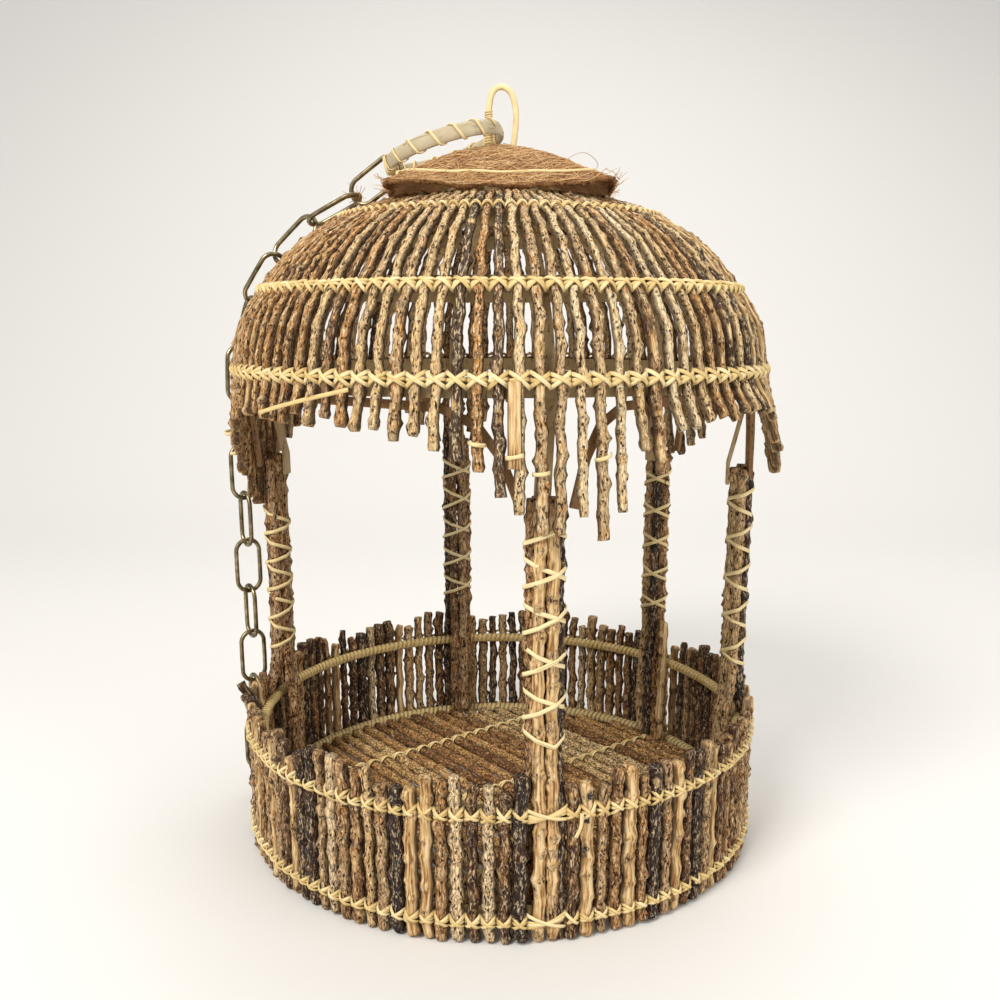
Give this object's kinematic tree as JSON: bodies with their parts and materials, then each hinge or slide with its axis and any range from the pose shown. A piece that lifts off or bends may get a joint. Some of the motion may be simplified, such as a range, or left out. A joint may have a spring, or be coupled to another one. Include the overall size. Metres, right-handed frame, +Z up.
{
  "type": "twig birdcage",
  "caption": "Open twig birdcage: lashed twig wall and floor, bundled posts, a twig dome with a coir cap, and a ring and chain in a cane loop to hang it.",
  "frame": {"origin": "on the cage's upright axis, at the ground it stands on", "axes": "+Z up along the cage's axis, -Y towards the front of the picture, +X to its right"},
  "size_m": [0.3476, 0.3336, 0.4548],
  "materials": {
    "bark": "rough bark",
    "pale_bark": "rough bark",
    "dark_bark": "rough bark",
    "cane": "split cane",
    "bamboo": "split bamboo",
    "coir": "matted fibre",
    "antique_brass": "darkened"
  },
  "bodies": {
    "cage": {"wall_twigs_front": "bark", "dome_twigs_front": "pale_bark", "post_front": "dark_bark", "wrap_front": "cane", "arch_brace_front": "cane", "wall_twigs_right": "bark", "dome_twigs_right": "pale_bark", "post_right": "dark_bark", "wrap_right": "cane", "arch_brace_right": "cane", "wall_twigs_rear_right": "bark", "dome_twigs_rear_right": "pale_bark", "post_rear_right": "dark_bark", "wrap_rear_right": "cane", "arch_brace_rear_right": "cane", "wall_twigs_rear_left": "bark", "dome_twigs_rear_left": "pale_bark", "post_rear_left": "dark_bark", "wrap_rear_left": "cane", "arch_brace_rear_left": "cane", "wall_twigs_left": "bark", "dome_twigs_left": "pale_bark", "post_left": "dark_bark", "wrap_left": "cane", "arch_brace_left": "cane", "splint_front_to_rear": "bamboo", "splint_right": "bamboo", "splint_rear_right": "bamboo", "splint_left": "bamboo", "eaves_hoop": "bamboo", "shoulder_hoop": "bamboo", "crown_hoop": "bamboo", "bearer_front": "bamboo", "bearer_middle": "bamboo", "bearer_rear": "bamboo", "rim_hoop": "cane", "floor_hoop": "cane", "cap_cord": "cane", "hanging_loop": "cane", "floor_twigs": "bark", "coir_cap": "coir"},
    "ring": {"hanging_ring": "bamboo", "ring_binding_near": "cane", "ring_binding_far": "cane"},
    "link_01": {"chain_link_01": "antique_brass"},
    "link_02": {"chain_link_02": "antique_brass"},
    "link_03": {"chain_link_03": "antique_brass"},
    "link_04": {"chain_link_04": "antique_brass"},
    "link_05": {"chain_link_05": "antique_brass"},
    "link_06": {"chain_link_06": "antique_brass"},
    "link_07": {"chain_link_07": "antique_brass"},
    "link_08": {"chain_link_08": "antique_brass"},
    "link_09": {"chain_link_09": "antique_brass"},
    "link_10": {"chain_link_10": "antique_brass"},
    "link_11": {"chain_link_11": "antique_brass"},
    "link_12": {"chain_link_12": "antique_brass"},
    "link_13": {"chain_link_13": "antique_brass"},
    "link_14": {"chain_link_14": "antique_brass"}
  },
  "joints": [
    {"name": "ring_in_loop", "type": "hinge", "parent": "cage", "child": "ring", "pos_m": [0, 0, 0.43], "axis": [0.1736, 0.9848, 0], "range_deg": [0, 100]},
    {"name": "chain_link_01_swing", "type": "hinge", "parent": "ring", "child": "link_01", "pos_m": [-0.06573, 0.01159, 0.40957], "axis": [0.1736, 0.9848, 0], "range_deg": [0, 20]},
    {"name": "chain_link_02_swing", "type": "hinge", "parent": "link_01", "child": "link_02", "pos_m": [-0.08572, 0.01511, 0.39472], "axis": [0.1736, 0.9848, 0], "range_deg": [0, 20]},
    {"name": "chain_link_03_swing", "type": "hinge", "parent": "link_02", "child": "link_03", "pos_m": [-0.11668, 0.02057, 0.3791], "axis": [0.1736, 0.9848, 0], "range_deg": [0, 20]},
    {"name": "chain_link_04_swing", "type": "hinge", "parent": "link_03", "child": "link_04", "pos_m": [-0.13955, 0.02461, 0.35768], "axis": [0.1736, 0.9848, 0], "range_deg": [0, 20]},
    {"name": "chain_link_05_swing", "type": "hinge", "parent": "link_04", "child": "link_05", "pos_m": [-0.15715, 0.02771, 0.33162], "axis": [0.1736, 0.9848, 0], "range_deg": [0, 20]},
    {"name": "chain_link_06_swing", "type": "hinge", "parent": "link_05", "child": "link_06", "pos_m": [-0.16671, 0.02939, 0.30155], "axis": [0.1736, 0.9848, 0], "range_deg": [0, 20]},
    {"name": "chain_link_07_swing", "type": "hinge", "parent": "link_06", "child": "link_07", "pos_m": [-0.16838, 0.02969, 0.26999], "axis": [0.1736, 0.9848, 0], "range_deg": [0, 20]},
    {"name": "chain_link_08_swing", "type": "hinge", "parent": "link_07", "child": "link_08", "pos_m": [-0.16849, 0.02971, 0.23839], "axis": [0.1736, 0.9848, 0], "range_deg": [0, 20]},
    {"name": "chain_link_09_swing", "type": "hinge", "parent": "link_08", "child": "link_09", "pos_m": [-0.1685, 0.02971, 0.20679], "axis": [0.1736, 0.9848, 0], "range_deg": [0, 20]},
    {"name": "chain_link_10_swing", "type": "hinge", "parent": "link_09", "child": "link_10", "pos_m": [-0.1685, 0.02971, 0.17519], "axis": [0.1736, 0.9848, 0], "range_deg": [0, 20]},
    {"name": "chain_link_11_swing", "type": "hinge", "parent": "link_10", "child": "link_11", "pos_m": [-0.1685, 0.02971, 0.14359], "axis": [0.1736, 0.9848, 0], "range_deg": [0, 20]},
    {"name": "chain_link_12_swing", "type": "hinge", "parent": "link_11", "child": "link_12", "pos_m": [-0.1685, 0.02971, 0.11199], "axis": [0.1736, 0.9848, 0], "range_deg": [0, 20]},
    {"name": "chain_link_13_swing", "type": "hinge", "parent": "link_12", "child": "link_13", "pos_m": [-0.1685, 0.02971, 0.08039], "axis": [0.1736, 0.9848, 0], "range_deg": [0, 20]},
    {"name": "chain_link_14_swing", "type": "hinge", "parent": "link_13", "child": "link_14", "pos_m": [-0.1685, 0.02971, 0.04879], "axis": [0.1736, 0.9848, 0], "range_deg": [0, 20]}
  ]
}
